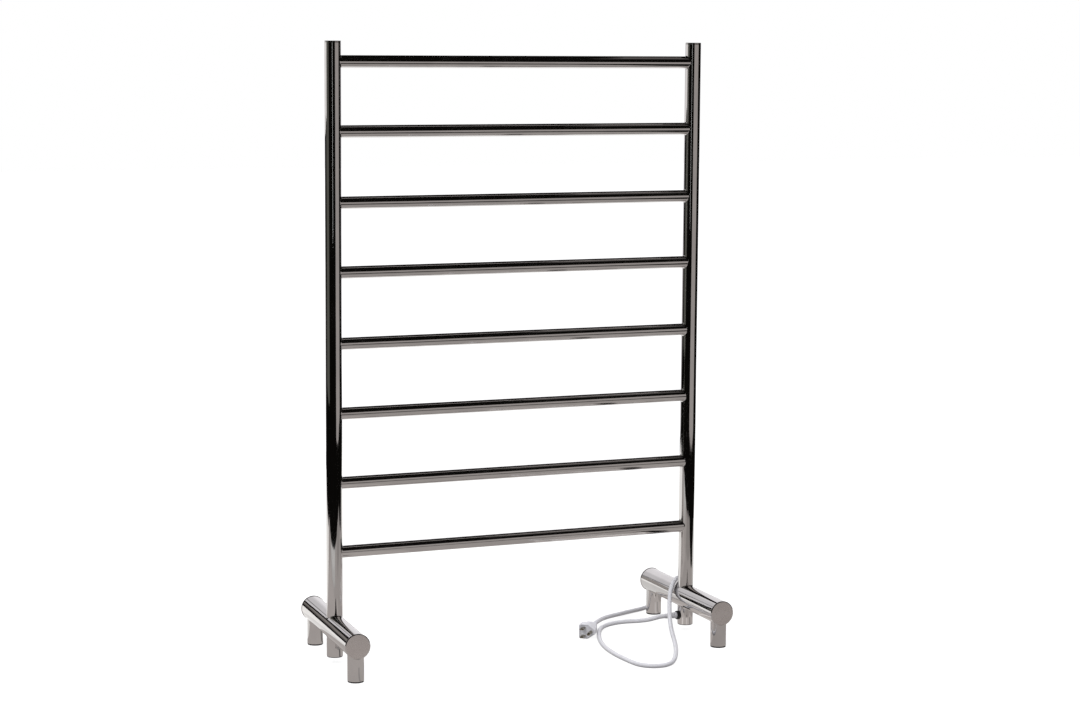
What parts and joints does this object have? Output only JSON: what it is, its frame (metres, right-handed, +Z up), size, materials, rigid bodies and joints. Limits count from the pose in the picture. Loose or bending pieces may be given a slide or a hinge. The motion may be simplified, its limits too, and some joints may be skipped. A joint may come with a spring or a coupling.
{
  "type": "towel warmer rack",
  "caption": "Free-standing electric towel rack of polished steel tube: horizontal bars between round posts on short tube feet, with a white mains cord and plug.",
  "frame": {"origin": "on the floor, midway between the two posts and on their plane, which is the middle of the feet's length", "axes": "+Z up, +X towards the post with the cord gland, -Y towards the front"},
  "size_m": [0.73, 0.4514, 0.95],
  "materials": {
    "polished_steel": "polished stainless steel tube, fine polishing lines",
    "satin_steel": "satin stainless steel disc",
    "black_nylon": "moulded nylon, fine texture",
    "white_pvc": "moulded soft PVC, satin",
    "silicone_sleeve": "silicone rubber, matt",
    "fuse_sleeve": "woven glass sleeve, matt",
    "black_sleeve": "polyolefin sleeve, satin",
    "white_sleeve": "PVC wire insulation, satin",
    "green_sleeve": "PVC wire insulation, satin",
    "tinned_brass": "tinned brass, satin",
    "rivet_aluminium": "plain aluminium",
    "brass": "stamped brass, bright"
  },
  "bodies": {
    "root": {"left_post": "polished_steel", "right_post": "polished_steel", "left_post_cap": "polished_steel", "right_post_cap": "polished_steel", "left_post_plug": "black_nylon", "right_post_plug": "black_nylon", "bar_1": "polished_steel", "bar_2": "polished_steel", "bar_3": "polished_steel", "bar_4": "polished_steel", "bar_5": "polished_steel", "bar_6": "polished_steel", "bar_7": "polished_steel", "bar_8": "polished_steel", "left_foot_tube": "polished_steel", "right_foot_tube": "polished_steel", "left_front_disc": "satin_steel", "left_back_disc": "satin_steel", "right_front_disc": "satin_steel", "right_back_disc": "satin_steel", "left_front_peg": "polished_steel", "left_back_peg": "polished_steel", "right_front_peg": "polished_steel", "right_back_peg": "polished_steel", "left_front_glide": "black_nylon", "left_back_glide": "black_nylon", "right_front_glide": "black_nylon", "right_back_glide": "black_nylon", "heating_cable": "silicone_sleeve", "thermal_fuse": "fuse_sleeve", "live_splice": "black_sleeve", "neutral_splice": "black_sleeve", "live_wire": "black_sleeve", "neutral_wire": "white_sleeve", "earth_wire": "green_sleeve", "earth_lug": "tinned_brass", "earth_rivet": "rivet_aluminium", "cord_gland": "black_nylon", "gland_nut": "black_nylon", "cord_relief": "white_pvc", "mains_cord": "white_pvc", "plug_relief": "white_pvc", "plug_body": "white_pvc", "upper_blade": "brass", "lower_blade": "brass", "ground_pin": "brass"}
  },
  "joints": []
}
